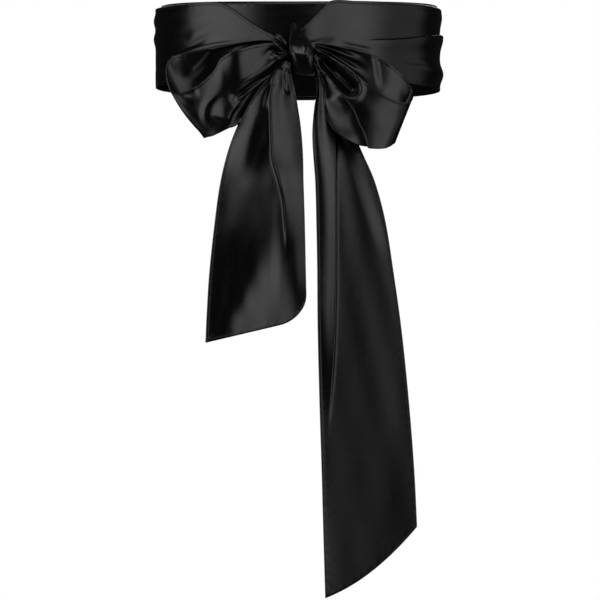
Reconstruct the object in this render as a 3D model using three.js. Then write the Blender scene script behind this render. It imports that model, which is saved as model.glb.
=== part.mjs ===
// A wide satin sash, wound twice round a waist and tied in front in a soft bow with two loops and two tails.
// Millimetres, +Z up. The front of the waist faces -Y, and +X is to the right in a front view.
// The origin is the middle of the waist, about half way up the wound band.
import * as THREE from "three";

// Driving dimensions.
const cloth = {
  width: 90, // the sash is cut this wide
  wall: 1.4, // two layers of satin and the air between them
  colour: 0x0b0b0d,
  roughness: 0.32,
};
const waist = { halfWidth: 126, halfDepth: 93 }; // a general figure, about 69 cm round
const band = {
  firstTurn: 1, // from the waist to the middle of the first turn's wall
  frontTop: 29.6, // height of the upper edge in front
  sideRise: 7.8, // how much higher the upper edge is at the sides and behind
  firstTuck: 1.2, // the first turn stops this far below the outer turn's upper edge
};

// Stretches of the outer turn, from the knot to the crossing behind. angle is measured from the front, in degrees,
// towards +X on the right stretch and towards -X on the left; top and bottom are heights, and out is from the waist
// to the middle of the wall.
const rightTurnRows = [
  { angle: -2, top: 2, bottom: -18, out: 8.6 },
  { angle: 3, top: 11, bottom: -25, out: 8 },
  { angle: 8, top: 22, bottom: -30, out: 6 },
  { angle: 12.5, top: 30, bottom: -33, out: 5 },
  { angle: 22, top: 30.4, bottom: -35, out: 4.2 },
  { angle: 40, top: 32, bottom: -37, out: 3.7 },
  { angle: 60, top: 34, bottom: -38.3, out: 3.6 },
  { angle: 78, top: 35.4, bottom: -38.6, out: 3.6 },
  { angle: 95, top: 36.2, bottom: -38.4, out: 3.6 },
  { angle: 125, top: 37, bottom: -38, out: 3.6 },
  { angle: 160, top: 37, bottom: -37, out: 3.6 },
  { angle: 190, top: 36.5, bottom: -36.5, out: 3.6 },
];
const leftTurnRows = [
  { angle: 5, top: -4, bottom: -17, out: 9.5 },
  { angle: 9, top: 0, bottom: -20, out: 8.5 },
  { angle: 14.5, top: 7, bottom: -23, out: 6.6 },
  { angle: 19, top: 13.5, bottom: -25, out: 5.5 },
  { angle: 26, top: 23.5, bottom: -26, out: 4.6 },
  { angle: 33, top: 30.8, bottom: -26, out: 4.1 },
  { angle: 47, top: 32.6, bottom: -23, out: 3.8 },
  { angle: 64, top: 34.6, bottom: -16, out: 3.6 },
  { angle: 78, top: 35.8, bottom: -19, out: 3.6 },
  { angle: 90, top: 36.8, bottom: -23.5, out: 3.6 },
  { angle: 112, top: 37.2, bottom: -31, out: 3.6 },
  { angle: 145, top: 37, bottom: -36, out: 3.8 },
  { angle: 162, top: 36.8, bottom: -37, out: 6 },
  { angle: 192, top: 36.5, bottom: -37, out: 6.2 },
];
const backCross = { lean: 11 }; // degrees that the lapped end behind leans away from upright

// A strip's rows. along runs from 0 to 1 down the strip. (ax, ay, az) is a point of its upper or left edge and
// (bx, by, bz) of its lower or right edge. belly is how far the middle stands out of the straight line between
// them, and gather is the depth of the gathers.
const leftLoopRows = [
  { along: 0, ax: -14.4, ay: -107, az: -6, bx: -14.4, by: -108, bz: -19, belly: 0, gather: 1.2 },
  { along: 0.07, ax: -32, ay: -105, az: -4, bx: -31, by: -105, bz: -39, belly: 1, gather: 1.4 },
  { along: 0.14, ax: -52, ay: -103, az: -6, bx: -47, by: -102, bz: -59, belly: 2, gather: 0.8 },
  { along: 0.22, ax: -74, ay: -99, az: -10, bx: -62, by: -99, bz: -75, belly: 3, gather: 0 },
  { along: 0.3, ax: -96, ay: -93, az: -14, bx: -75, by: -98, bz: -84, belly: 2, gather: 0 },
  { along: 0.38, ax: -115, ay: -84, az: -20, bx: -81, by: -101, bz: -89, belly: 1, gather: 0 },
  { along: 0.44, ax: -115, ay: -92, az: -35, bx: -82, by: -108, bz: -89.5, belly: 1, gather: 0 },
  { along: 0.5, ax: -109.5, ay: -105, az: -51, bx: -80, by: -115, bz: -89.5, belly: 2, gather: 0 },
  { along: 0.56, ax: -98, ay: -115, az: -49.5, bx: -75, by: -119, bz: -88.5, belly: 3, gather: 0 },
  { along: 0.63, ax: -85.5, ay: -121, az: -43, bx: -69, by: -120, bz: -86, belly: 4, gather: 0 },
  { along: 0.7, ax: -74, ay: -124, az: -32.5, bx: -61, by: -119, bz: -82, belly: 4, gather: 0 },
  { along: 0.77, ax: -67, ay: -124, az: -21.5, bx: -54, by: -116, bz: -79, belly: 2, gather: 0.3 },
  { along: 0.84, ax: -54, ay: -122, az: -15.5, bx: -44, by: -114, bz: -68, belly: 1, gather: 1 },
  { along: 0.91, ax: -37, ay: -119, az: -10, bx: -30, by: -115, bz: -48, belly: 0, gather: 1.8 },
  { along: 0.96, ax: -23.5, ay: -117, az: -8, bx: -20, by: -116, bz: -33, belly: 0, gather: 1.8 },
  { along: 1, ax: -10.1, ay: -116.5, az: -11, bx: -10.1, by: -116.5, bz: -23, belly: 0, gather: 1.2 },
];
const rightLoopRows = [
  { along: 0, ax: 16.4, ay: -108, az: -6, bx: 16.4, by: -109, bz: -19, belly: 0, gather: 1.2 },
  { along: 0.07, ax: 29, ay: -110, az: -9, bx: 28, by: -112, bz: -40, belly: 1, gather: 1.4 },
  { along: 0.14, ax: 46, ay: -108, az: -12, bx: 41, by: -112, bz: -65, belly: 1, gather: 0.8 },
  { along: 0.22, ax: 64, ay: -102, az: -17, bx: 54, by: -108, bz: -86, belly: 2, gather: 0 },
  { along: 0.3, ax: 80, ay: -95, az: -25, bx: 66, by: -104, bz: -95.5, belly: 1, gather: 0 },
  { along: 0.37, ax: 92, ay: -90, az: -36, bx: 75, by: -103, bz: -97, belly: 0, gather: 0 },
  { along: 0.43, ax: 98.5, ay: -92, az: -47, bx: 80, by: -106, bz: -97, belly: -1, gather: 0 },
  { along: 0.49, ax: 98.5, ay: -101, az: -55, bx: 79, by: -111, bz: -98, belly: -1, gather: 0 },
  { along: 0.55, ax: 93, ay: -110, az: -59.5, bx: 73, by: -117, bz: -99, belly: 0, gather: 0 },
  { along: 0.61, ax: 84, ay: -117, az: -58, bx: 63, by: -121, bz: -100, belly: 2, gather: 0 },
  { along: 0.68, ax: 71, ay: -122, az: -52, bx: 53, by: -123, bz: -98, belly: 3, gather: 0 },
  { along: 0.75, ax: 58, ay: -125, az: -43, bx: 41, by: -124, bz: -92, belly: 3, gather: 0 },
  { along: 0.82, ax: 46, ay: -126, az: -32.5, bx: 30, by: -124, bz: -84, belly: 2, gather: 0.4 },
  { along: 0.89, ax: 34.5, ay: -124, az: -24.5, bx: 22.6, by: -122, bz: -69, belly: 1, gather: 1 },
  { along: 0.95, ax: 24, ay: -120.5, az: -18, bx: 20.8, by: -120.8, bz: -48, belly: 0, gather: 0.7 },
  { along: 1, ax: 15.9, ay: -117.5, az: -11.5, bx: 13.8, by: -118.6, bz: -29.5, belly: 0, gather: 0.6 },
];
const leftTailRows = [
  { along: 0, ax: -12.6, ay: -120.6, az: -23.4, bx: -6.6, by: -122.4, bz: -25.4, belly: 0, gather: 0.4 },
  { along: 0.05, ax: -25, ay: -122.5, az: -37, bx: -6, by: -122, bz: -38, belly: 0.5, gather: 1.6 },
  { along: 0.11, ax: -36, ay: -123, az: -50, bx: -3.4, by: -122, bz: -50, belly: 1.5, gather: 2 },
  { along: 0.18, ax: -45, ay: -123, az: -65, bx: -1.2, by: -121, bz: -65, belly: 3, gather: 1.4 },
  { along: 0.25, ax: -53, ay: -122, az: -81, bx: 1.2, by: -120, bz: -81, belly: 4, gather: 0.6 },
  { along: 0.34, ax: -61, ay: -120, az: -103, bx: 2.6, by: -119, bz: -103, belly: 5, gather: 0 },
  { along: 0.45, ax: -67.5, ay: -118, az: -130, bx: 3.2, by: -118, bz: -130, belly: 5, gather: 0 },
  { along: 0.58, ax: -72, ay: -117, az: -162, bx: 4.4, by: -117, bz: -162, belly: 5, gather: 0 },
  { along: 0.76, ax: -77, ay: -116, az: -207, bx: 5.4, by: -117, bz: -207, belly: 4, gather: 0 },
  { along: 0.9, ax: -79.5, ay: -116, az: -241, bx: 6, by: -117, bz: -241, belly: 3, gather: 0 },
  { along: 1, ax: -80.6, ay: -117, az: -266, bx: 6.4, by: -118, bz: -266, belly: 2, gather: 0 },
];
const rightTailRows = [
  { along: 0, ax: 12.1, ay: -114, az: -27.6, bx: 18.8, by: -113, bz: -27.6, belly: 0, gather: 0.4 },
  { along: 0.04, ax: 15.8, ay: -112, az: -46, bx: 30, by: -107.5, bz: -46, belly: 0, gather: 1.4 },
  { along: 0.08, ax: 13.6, ay: -110.5, az: -65, bx: 38, by: -106, bz: -65, belly: 0.5, gather: 1.6 },
  { along: 0.12, ax: 12.2, ay: -110, az: -84, bx: 45, by: -106, bz: -84, belly: 1, gather: 1.2 },
  { along: 0.16, ax: 12.7, ay: -111, az: -102, bx: 52.5, by: -107, bz: -102, belly: 2, gather: 0.7 },
  { along: 0.22, ax: 14.5, ay: -113, az: -128, bx: 64.5, by: -109, bz: -128, belly: 3, gather: 0.3 },
  { along: 0.29, ax: 15.6, ay: -114, az: -162, bx: 74.6, by: -111, bz: -162, belly: 4, gather: 0 },
  { along: 0.39, ax: 16.5, ay: -115, az: -205, bx: 82.5, by: -113, bz: -205, belly: 4, gather: 0 },
  { along: 0.5, ax: 16.8, ay: -115, az: -257, bx: 90, by: -114, bz: -257, belly: 4, gather: 0 },
  { along: 0.63, ax: 18.2, ay: -116, az: -318, bx: 96, by: -115, bz: -318, belly: 3, gather: 0 },
  { along: 0.76, ax: 20.4, ay: -117, az: -378, bx: 100, by: -116, bz: -378, belly: 3, gather: 0 },
  { along: 0.87, ax: 22, ay: -117, az: -428, bx: 102.4, by: -117, bz: -428, belly: 3, gather: 0 },
  { along: 1, ax: 24, ay: -118, az: -488, bx: 104.5, by: -118, bz: -488, belly: 2, gather: 0 },
];

// The slanting cuts at the tails' ends. rise is how much shorter the right edge is than the left, bulge is how far
// the cut bows downwards in the middle, and corner is the share of the width that the rounded corner takes.
const leftTailCut = { rise: 20, bulge: 0, corner: 0.27, cornerRise: 20 };
const rightTailCut = { rise: 61, bulge: 8, corner: 0, cornerRise: 0 };

// Folds, one to a row. A fold runs from (a0, b0) past (a1, b1) to (a2, b2). On the bow those are x and z in a front
// view; on the band they are degrees from the front and z. wide is its half width, rise its height or, if negative,
// its depth. steep 1 makes the side on the right of its run fall off sharply, -1 the left side. open0 or open1
// keeps that end from fading out.
const leftTurnFolds = [
  { a0: 60, b0: 5, a1: 52, b1: 3, a2: 38, b2: 9, wide: 7, rise: -0.9, steep: 0, open0: 0, open1: 0 },
  { a0: 100, b0: -14, a1: 62, b1: -11, a2: 20, b2: 2, wide: 7, rise: 1.8, steep: 0, open0: 0, open1: 0 },
  { a0: 140, b0: 8, a1: 100, b1: 10, a2: 72, b2: 8, wide: 7, rise: 1.7, steep: 0, open0: 0, open1: 0 },
  { a0: 158, b0: 28, a1: 100, b1: 26, a2: 66, b2: 25, wide: 6, rise: 1.5, steep: 0, open0: 0, open1: 0 },
  { a0: 156, b0: -18, a1: 120, b1: -20, a2: 96, b2: -16, wide: 7, rise: 1.8, steep: 0, open0: 0, open1: 0 },
];
const rightTurnFolds = [
  { a0: 160, b0: 6, a1: 84, b1: 11, a2: 26, b2: 0, wide: 10, rise: 4.4, steep: 1, open0: 0, open1: 0 },
  { a0: 150, b0: 27, a1: 90, b1: 29, a2: 30, b2: 22, wide: 8, rise: 2, steep: 0, open0: 0, open1: 0 },
  { a0: 148, b0: -24, a1: 96, b1: -24, a2: 40, b2: -18, wide: 7, rise: 3.2, steep: 0, open0: 0, open1: 0 },
];
const leftLoopFolds = [
  { a0: -106, b0: -56, a1: -94, b1: -60, a2: -76, b2: -48, wide: 7, rise: 2, steep: 0, open0: 0, open1: 0 },
  { a0: -68, b0: -22, a1: -80, b1: -54, a2: -84, b2: -82, wide: 9, rise: 5, steep: 0, open0: 0, open1: 0 },
  { a0: -16, b0: -20, a1: -38, b1: -44, a2: -70, b2: -62, wide: 7, rise: -4, steep: 0, open0: 1, open1: 0 },
  { a0: -16, b0: -26, a1: -40, b1: -56, a2: -76, b2: -80, wide: 8, rise: 4, steep: 0, open0: 1, open1: 0 },
];
const rightLoopFolds = [
  { a0: 16, b0: -20, a1: 34, b1: -34, a2: 54, b2: -50, wide: 8, rise: -5, steep: 0, open0: 1, open1: 0 },
  { a0: 16, b0: -22, a1: 26, b1: -56, a2: 52, b2: -58, wide: 6, rise: 3, steep: 0, open0: 1, open1: 0 },
  { a0: 26, b0: -46, a1: 46, b1: -66, a2: 58, b2: -98, wide: 13, rise: 4, steep: -1, open0: 0, open1: 1 },
  { a0: 84, b0: -62, a1: 78, b1: -76, a2: 70, b2: -98, wide: 9, rise: 2, steep: 0, open0: 0, open1: 1 },
];
const leftTailFolds = [
  { a0: -25, b0: -48, a1: -16, b1: -120, a2: -8, b2: -232, wide: 15, rise: 6, steep: 1, open0: 1, open1: 0 },
  { a0: -28, b0: -62, a1: -34, b1: -92, a2: -50, b2: -128, wide: 10, rise: -3.5, steep: 0, open0: 0, open1: 0 },
  { a0: -18, b0: -150, a1: -34, b1: -216, a2: -76, b2: -262, wide: 16, rise: 4, steep: 0, open0: 0, open1: 1 },
];
const rightTailFolds = [
  { a0: 29, b0: -84, a1: 32, b1: -220, a2: 24, b2: -360, wide: 14, rise: 5.5, steep: -1, open0: 1, open1: 0 },
  { a0: 44, b0: -96, a1: 60, b1: -140, a2: 80, b2: -200, wide: 10, rise: 4, steep: 0, open0: 0, open1: 0 },
  { a0: 40, b0: -300, a1: 60, b1: -380, a2: 76, b2: -420, wide: 18, rise: 3, steep: 0, open0: 0, open1: 0 },
];

// The knot, from its pointed top down. across is its half width and deep its half depth.
const knotRows = [
  { z: 10, x: -5, y: -107, across: 1.2, deep: 1.5 },
  { z: 6, x: -4.2, y: -108, across: 3, deep: 3.4 },
  { z: 0, x: -2, y: -111, across: 6, deep: 6.2 },
  { z: -6, x: 0.6, y: -114, across: 9.3, deep: 9.4 },
  { z: -12, x: 2, y: -116.2, across: 12, deep: 13.2 },
  { z: -17, x: 2.2, y: -116.7, across: 12.6, deep: 14.9 },
  { z: -22, x: 2.3, y: -116.7, across: 11.6, deep: 14.2 },
  { z: -27, x: 2.6, y: -116, across: 9.8, deep: 10.8 },
  { z: -31, x: 3, y: -114, across: 7.4, deep: 7.4 },
  { z: -34, x: 3.4, y: -112, across: 3.8, deep: 4 },
];
const knotCreases = { count: 9, depth: 0.05 }; // round the knot, as a share of its radius

// The small rolled fold that stands up beside the knot, from its outer end inwards.
const earRows = [
  { along: 0, x: -25, y: -112, z: -1.5, thick: 1.2 },
  { along: 0.3, x: -21, y: -113, z: -2.5, thick: 3.2 },
  { along: 0.6, x: -16.5, y: -114.5, z: -4, thick: 3 },
  { along: 0.85, x: -11.8, y: -116, z: -5.5, thick: 2 },
  { along: 1, x: -9.3, y: -116.6, z: -6.6, thick: 0.9 },
];

// How finely each solid is divided.
const mesh = {
  ring: { steps: 60, rows: 5 },
  turn: { steps: 38, rows: 14 },
  loop: { steps: 36, rows: 12 },
  tail: { steps: 24, rows: 15 },
  lump: { steps: 16, rings: 18 },
  foldSteps: 14,
};

const radians = Math.PI / 180;
const clamp = (value) => Math.min(1, Math.max(0, value));
const ease = (value) => clamp(value) ** 2 * (3 - 2 * clamp(value));

// The value of one column at a place between rows, on a smooth curve through the rows.
function column(rows, by, name, at) {
  const last = rows.length - 1;
  let i = rows.findIndex((row) => row[by] > at) - 1;
  if (i < 0) i = at <= rows[0][by] ? 0 : last - 1;
  const slope = (k) => {
    const before = rows[Math.max(0, k - 1)];
    const after = rows[Math.min(last, k + 1)];
    return (after[name] - before[name]) / (after[by] - before[by]);
  };
  const [low, high] = [rows[i], rows[i + 1]];
  const span = high[by] - low[by];
  const t = clamp((at - low[by]) / span);
  const bend = t * t * (3 - 2 * t);
  return (
    low[name] * (1 - bend) +
    high[name] * bend +
    span * (slope(i) * t * (1 - t) ** 2 - slope(i + 1) * t * t * (1 - t))
  );
}

// Height of all folds of a table at the place (a, b). Each fold is a bump across its line, which is a quadratic
// curve. perA is the real length of one unit of a.
function foldHeight(folds, a, b, perA = 1) {
  let height = 0;
  for (const f of folds) {
    let nearest = { distance: Infinity, t: 0, side: 0 };
    for (let k = 0; k <= mesh.foldSteps; k++) {
      const t = k / mesh.foldSteps;
      const [p, q, r] = [(1 - t) ** 2, 2 * t * (1 - t), t * t];
      const da = (a - (f.a0 * p + f.a1 * q + f.a2 * r)) * perA;
      const db = b - (f.b0 * p + f.b1 * q + f.b2 * r);
      const distance = Math.hypot(da, db);
      if (distance < nearest.distance) {
        const runA = ((f.a1 - f.a0) * (1 - t) + (f.a2 - f.a1) * t) * perA;
        const runB = (f.b1 - f.b0) * (1 - t) + (f.b2 - f.b1) * t;
        nearest = { distance, t, side: Math.sign(runB * da - runA * db) };
      }
    }
    const steepShare = nearest.side * f.steep > 0 ? 0.4 : 1;
    const across = Math.exp(-((nearest.distance / (f.wide * steepShare)) ** 2));
    const fadeIn = f.open0 ? 1 : ease(nearest.t / 0.3);
    const fadeOut = f.open1 ? 1 : ease((1 - nearest.t) / 0.3);
    height += f.rise * across * fadeIn * fadeOut;
  }
  return height;
}

// A closed wall of cloth round a grid of middle points: points[i][j] runs along i and across j. Each point is moved
// half a wall's thickness to both sides along the grid's own normal, and the rims are closed.
function clothWall(points, ring = false) {
  const [along, across] = [points.length, points[0].length];
  const at = (i, j) => points[ring ? (i + along) % along : Math.min(along - 1, Math.max(0, i))]
    [Math.min(across - 1, Math.max(0, j))];
  const position = [];
  for (const side of [1, -1])
    for (let i = 0; i < along; i++)
      for (let j = 0; j < across; j++) {
        const run = at(i + 1, j).clone().sub(at(i - 1, j));
        const reach = at(i, j + 1).clone().sub(at(i, j - 1));
        const normal = run.cross(reach).normalize();
        position.push(...at(i, j).clone().addScaledVector(normal, (side * cloth.wall) / 2));
      }
  const index = [];
  const id = (side, i, j) => side * along * across + (i % along) * across + j;
  const quad = (a, b, c, d) => index.push(a, b, c, a, c, d);
  const spans = ring ? along : along - 1;
  for (let i = 0; i < spans; i++) {
    for (let j = 0; j + 1 < across; j++) {
      quad(id(0, i, j), id(0, i + 1, j), id(0, i + 1, j + 1), id(0, i, j + 1));
      quad(id(1, i, j), id(1, i, j + 1), id(1, i + 1, j + 1), id(1, i + 1, j));
    }
    quad(id(0, i, 0), id(1, i, 0), id(1, i + 1, 0), id(0, i + 1, 0));
    quad(id(0, i, across - 1), id(0, i + 1, across - 1), id(1, i + 1, across - 1), id(1, i, across - 1));
  }
  for (let j = 0; !ring && j + 1 < across; j++) {
    quad(id(0, 0, j), id(0, 0, j + 1), id(1, 0, j + 1), id(1, 0, j));
    const end = along - 1;
    quad(id(0, end, j), id(1, end, j), id(1, end, j + 1), id(0, end, j + 1));
  }
  return facetGeometry(position, index);
}

function facetGeometry(position, index) {
  const geometry = new THREE.BufferGeometry();
  geometry.setAttribute("position", new THREE.Float32BufferAttribute(position, 3));
  geometry.setIndex(index);
  geometry.computeVertexNormals();
  return geometry;
}

// A closed rounded solid through rings of points, with a point at each end.
function lump(rings, first, last) {
  const steps = rings[0].length;
  const position = [...rings.flat(), first, last].flatMap((p) => p.toArray());
  const index = [];
  const [start, end] = [rings.length * steps, rings.length * steps + 1];
  for (let k = 0; k < steps; k++) {
    const next = (k + 1) % steps;
    index.push(start, next, k);
    index.push(end, (rings.length - 1) * steps + k, (rings.length - 1) * steps + next);
    for (let i = 0; i + 1 < rings.length; i++) {
      const [a, b] = [i * steps, (i + 1) * steps];
      index.push(a + k, a + next, b + next, a + k, b + next, b + k);
    }
  }
  return facetGeometry(position, index);
}

// A point on the waist's oval, moved out, at an angle in degrees from the front towards +X.
function roundWaist(angle, out, z) {
  return new THREE.Vector3(
    (waist.halfWidth + out) * Math.sin(angle * radians),
    -(waist.halfDepth + out) * Math.cos(angle * radians),
    z,
  );
}

const upperEdge = (angle) => band.frontTop + band.sideRise * ease(Math.abs(angle) / 100);

// The first turn: a whole ring with shallow folds, which shows in the V above the knot and from inside.
function firstTurn() {
  const lowerEdge = (angle) => -36.4 - 0.8 * Math.sin(angle * radians);
  const points = Array.from({ length: mesh.ring.steps }, (_, i) => {
    const angle = -180 + (360 * i) / mesh.ring.steps;
    return Array.from({ length: mesh.ring.rows + 1 }, (_, j) => {
      const down = j / mesh.ring.rows;
      const top = upperEdge(angle) - band.firstTuck;
      const ripple = 0.35 * Math.sin(down * 2 * Math.PI + angle * radians);
      return roundWaist(angle, band.firstTurn + ripple, top + (lowerEdge(angle) - top) * down);
    });
  });
  return clothWall(points, true);
}

// One stretch of the outer turn. side is 1 to the right of the knot and -1 to the left.
function outerTurn(rows, folds, side) {
  const [start, end] = [rows[0].angle, rows[rows.length - 1].angle];
  const perDegree = (waist.halfWidth + waist.halfDepth) / 2 * radians;
  const points = Array.from({ length: mesh.turn.steps + 1 }, (_, i) => {
    const share = i / mesh.turn.steps;
    return Array.from({ length: mesh.turn.rows + 1 }, (_, j) => {
      const down = j / mesh.turn.rows;
      const lean = backCross.lean * (0.5 - down) * ease((share - 0.7) / 0.3);
      const angle = start + (end - start) * share + lean;
      const z = column(rows, "angle", "top", angle) * (1 - down) + column(rows, "angle", "bottom", angle) * down;
      const out = column(rows, "angle", "out", angle) + Math.max(-0.4, foldHeight(folds, angle, z, perDegree));
      return roundWaist(side * angle, out, z);
    });
  });
  return clothWall(side > 0 ? points : points.reverse());
}

// Points of a strip between its two edges, before its folds. cut gives the share of the last row's length that is
// kept at a place across the strip.
function stripPoints(rows, size, gathers, cut = () => 1) {
  const value = (name, s) => column(rows, "along", name, s);
  return Array.from({ length: size.steps + 1 }, (_, i) =>
    Array.from({ length: size.rows + 1 }, (_, j) => {
      const across = j / size.rows;
      const s = (i / size.steps) * cut(across);
      const edge = (k) => new THREE.Vector3(value(k + "x", s), value(k + "y", s), value(k + "z", s));
      const [a, b] = [edge("a"), edge("b")];
      const ahead = new THREE.Vector3(
        value("ax", s + 0.01) - value("ax", s - 0.01),
        value("ay", s + 0.01) - value("ay", s - 0.01),
        value("az", s + 0.01) - value("az", s - 0.01),
      );
      const outwards = ahead.cross(b.clone().sub(a)).normalize();
      const wave = Math.sin(gathers.count * 2 * Math.PI * across + gathers.phase);
      const rise = value("belly", s) * 4 * across * (1 - across) + value("gather", s) * wave;
      return a.lerp(b, across).addScaledVector(outwards, gathers.face * rise);
    }),
  );
}

// A bow loop. The folds lie on its front layer alone, which begins half way along.
function loop(rows, folds, side) {
  const points = stripPoints(rows, mesh.loop, { count: 2, phase: 0.6, face: side });
  points.forEach((line, i) => {
    const front = ease((i / mesh.loop.steps - 0.5) / 0.08);
    line.forEach((p) => (p.y -= front * foldHeight(folds, p.x, p.z)));
  });
  return clothWall(side < 0 ? points : points.reverse());
}

// A hanging tail with its slanting cut.
function tail(rows, folds, end, gathers) {
  const length = rows[0].az - rows[rows.length - 1].az;
  const cut = (across) => {
    const corner = end.corner ? clamp((across - 1 + end.corner) / end.corner) : 0;
    const rise = end.rise * across - end.bulge * 4 * across * (1 - across);
    return 1 - (rise + end.cornerRise * (1 - Math.sqrt(1 - corner * corner))) / length;
  };
  const points = stripPoints(rows, mesh.tail, gathers, cut);
  points.flat().forEach((p) => (p.y -= foldHeight(folds, p.x, p.z)));
  return clothWall(points);
}

// The knot: oval rings from the pointed top down, creased where the cloth wraps round.
function knot() {
  const [top, foot] = [knotRows[0], knotRows[knotRows.length - 1]];
  const value = (name, z) => column(knotRows.map((row) => ({ ...row, down: -row.z })), "down", name, -z);
  const rings = Array.from({ length: mesh.lump.rings }, (_, i) => {
    const z = top.z + ((foot.z - top.z) * i) / (mesh.lump.rings - 1);
    return Array.from({ length: 2 * mesh.lump.steps }, (_, k) => {
      const turn = (k / (2 * mesh.lump.steps)) * 2 * Math.PI;
      const crease = 1 - knotCreases.depth * (1 + Math.cos(knotCreases.count * turn + z * 0.12));
      return new THREE.Vector3(
        value("x", z) + value("across", z) * crease * Math.cos(turn),
        value("y", z) + value("deep", z) * crease * Math.sin(turn),
        z,
      );
    });
  });
  const point = (row, z) => new THREE.Vector3(row.x, row.y, z);
  return lump(rings.reverse(), point(foot, foot.z - 1.2), point(top, top.z + 0.8));
}

// The rolled fold beside the knot.
function ear() {
  const value = (name, s) => column(earRows, "along", name, s);
  const rings = Array.from({ length: mesh.lump.rings / 2 }, (_, i) => {
    const s = i / (mesh.lump.rings / 2 - 1);
    const centre = new THREE.Vector3(value("x", s), value("y", s), value("z", s));
    return Array.from({ length: mesh.lump.steps }, (_, k) => {
      const turn = (k / mesh.lump.steps) * 2 * Math.PI;
      return centre.clone().add(
        new THREE.Vector3(0.3 * Math.sin(turn), 0.7 * Math.cos(turn), Math.sin(turn)).multiplyScalar(value("thick", s)),
      );
    });
  });
  const [outer, inner] = [earRows[0], earRows[earRows.length - 1]];
  return lump(
    rings,
    new THREE.Vector3(outer.x - 0.6, outer.y, outer.z),
    new THREE.Vector3(inner.x + 0.3, inner.y, inner.z),
  );
}

function satin(name, geometry) {
  const material = new THREE.MeshStandardMaterial({
    color: cloth.colour,
    roughness: cloth.roughness,
    metalness: 0,
    side: THREE.DoubleSide,
  });
  const made = new THREE.Mesh(geometry, material);
  made.name = name;
  return made;
}

const sash = new THREE.Group();
sash.add(
  satin("first_turn", firstTurn()),
  satin("right_turn", outerTurn(rightTurnRows, rightTurnFolds, 1)),
  satin("left_turn", outerTurn(leftTurnRows, leftTurnFolds, -1)),
  satin("right_loop", loop(rightLoopRows, rightLoopFolds, 1)),
  satin("left_loop", loop(leftLoopRows, leftLoopFolds, -1)),
  satin("right_tail", tail(rightTailRows, rightTailFolds, rightTailCut, { count: 2, phase: 0.3, face: -1 })),
  satin("left_tail", tail(leftTailRows, leftTailFolds, leftTailCut, { count: 2, phase: 0.3, face: -1 })),
  satin("knot", knot()),
  satin("knot_ear", ear()),
);

export default sash;
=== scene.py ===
"""A wide black satin sash, wound twice round a waist and tied in front in a soft bow.

Sizes are in millimetres in the tables and in metres in the meshes. +Z is up, the bow is on the -Y side, and
+X is to the right in a front view. The origin is the middle of the waist, half way up the wound band.
"""
import logging
import math
from dataclasses import dataclass
from enum import Enum
from typing import NamedTuple

import bpy
import numpy as np
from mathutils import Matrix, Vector


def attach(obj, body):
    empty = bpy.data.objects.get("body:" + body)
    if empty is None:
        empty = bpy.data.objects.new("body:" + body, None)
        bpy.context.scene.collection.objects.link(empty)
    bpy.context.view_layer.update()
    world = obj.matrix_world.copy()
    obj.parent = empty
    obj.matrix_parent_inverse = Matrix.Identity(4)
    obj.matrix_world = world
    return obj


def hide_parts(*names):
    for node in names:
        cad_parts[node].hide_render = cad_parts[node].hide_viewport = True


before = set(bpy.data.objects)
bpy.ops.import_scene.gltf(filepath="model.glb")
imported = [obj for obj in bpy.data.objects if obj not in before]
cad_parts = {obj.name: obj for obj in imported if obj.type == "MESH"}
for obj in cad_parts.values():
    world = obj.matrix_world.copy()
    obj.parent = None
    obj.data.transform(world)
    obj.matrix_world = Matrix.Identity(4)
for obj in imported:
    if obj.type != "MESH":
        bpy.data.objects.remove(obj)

LOG = logging.getLogger("sash")
MM = 0.001
TINY = 1e-9

# The waist's oval and the cloth, in mm.
WAIST_HALF_WIDTH = 126.0
WAIST_HALF_DEPTH = 93.0
CLOTH_WIDTH = 90.0
THICKNESS = 0.9
HEM_WIDTH = 2.2
HEM_EXTRA = 0.5

# At its rims the wall is thinner by the root of this share, and it is whole within this many mm of them.
RIM_SHARE = 0.35
RIM_ROUND = 0.6

# The width of a fold's steep side as a share of the other, how far the cloth leans with a lapped fold (in
# laps, and in mm more), and how many points are worked out for each one in a path.
STEEP_SHARE = 0.1
LAP_REACH = 2.0
LAP_LEAST = 0.1
PATH_STEPS = 8

# How many waves the ripples have, and how often they come, from and to, as shares of the usual.
RIPPLE_WAVES = 10
RIPPLE_SPREAD = (0.5, 1.8)

# The solid pieces' cloth map, the camera and the floor, in metres. The lens and sensor are in mm.
ROLL_RADIUS = 0.01
FAR_FROM_HEM = 0.04
CAMERA_AT = (0.0009, -1.925, -0.231)
CAMERA_LENS = 125.04
CAMERA_REACH = 50.0
SENSOR_WIDTH = 36.0
FLOOR_Z = -1.05
FLOOR_RADIUS = 3.4
FLOOR_STEPS = 96


class Layer(Enum):
    """Which layer of a bow loop a fold lies on."""

    FRONT = "front"
    BACK = "back"


class Profile(Enum):
    """What a fold does to the cloth across its path."""

    RIDGE = "ridge"
    STEP = "step"


class Reach(NamedTuple):
    """One place round the outer turn: degrees from the front, both edges' heights, how far out it lies."""

    angle: float
    top: float
    bottom: float
    out: float


class Section(NamedTuple):
    """One section across a strip: its two edge points, the bulge between them and its gathers' depth."""

    along: float
    ax: float
    ay: float
    az: float
    bx: float
    by: float
    bz: float
    belly: float = 0.0
    gather: float = 0.0


class Drape(NamedTuple):
    """One height on a tail, and how far forward the cloth hangs there at nine equal steps across, in mm."""

    z: float
    edge_a: float
    step_1: float
    step_2: float
    step_3: float
    middle: float
    step_5: float
    step_6: float
    step_7: float
    edge_b: float


class KnotRing(NamedTuple):
    """One level of the knot: its height, centre, half width, half depth, and how square its section is."""

    z: float
    x: float
    y: float
    across: float
    deep: float
    square: float


class RollPoint(NamedTuple):
    """One place along a small rolled fold: its centre and its half thickness."""

    along: float
    x: float
    y: float
    z: float
    thick: float


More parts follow.
